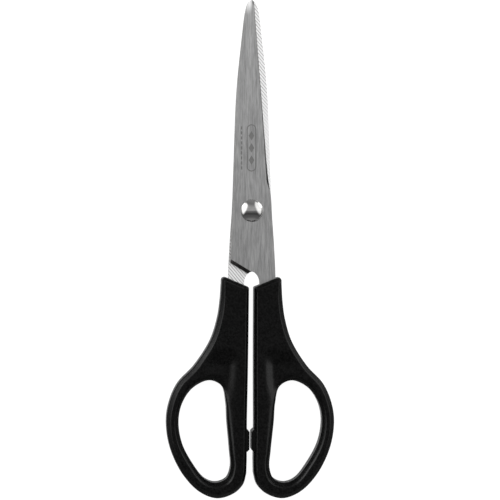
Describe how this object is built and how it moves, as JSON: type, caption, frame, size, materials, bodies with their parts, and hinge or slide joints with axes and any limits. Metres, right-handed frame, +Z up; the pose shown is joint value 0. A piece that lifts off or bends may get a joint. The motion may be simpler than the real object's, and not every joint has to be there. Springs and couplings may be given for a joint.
{
  "type": "office scissors",
  "caption": "Riveted steel office scissors with moulded loop handles; the front half turns on the pivot rivet to open and cut.",
  "frame": {"origin": "middle of the outline seen from above, at the flat underside of the handles", "axes": "+Y towards the blade tips, +Z up along the rivet towards its dome, +X to the handle of the upper blade"},
  "size_m": [0.061, 0.18, 0.009],
  "materials": {
    "blade_steel": "lengthwise brushed stainless steel",
    "rivet_metal": "bright nickel plate",
    "washer_metal": "plain steel",
    "handle_plastic": "fine-grained black moulding",
    "stop_rubber": "smooth black soft plastic"
  },
  "bodies": {
    "rear_half": {"rear_blade": "blade_steel", "left_handle": "handle_plastic", "left_stop": "stop_rubber", "pivot_rivet": "rivet_metal", "rivet_washer": "washer_metal"},
    "front_half": {"front_blade": "blade_steel", "right_handle": "handle_plastic", "right_stop": "stop_rubber"}
  },
  "joints": [
    {"name": "pivot", "type": "hinge", "parent": "rear_half", "child": "front_half", "pos_m": [0.00066, 0.01425, 0.0045], "axis": [0, 0, 1], "range_deg": [-0.4, 141]}
  ]
}
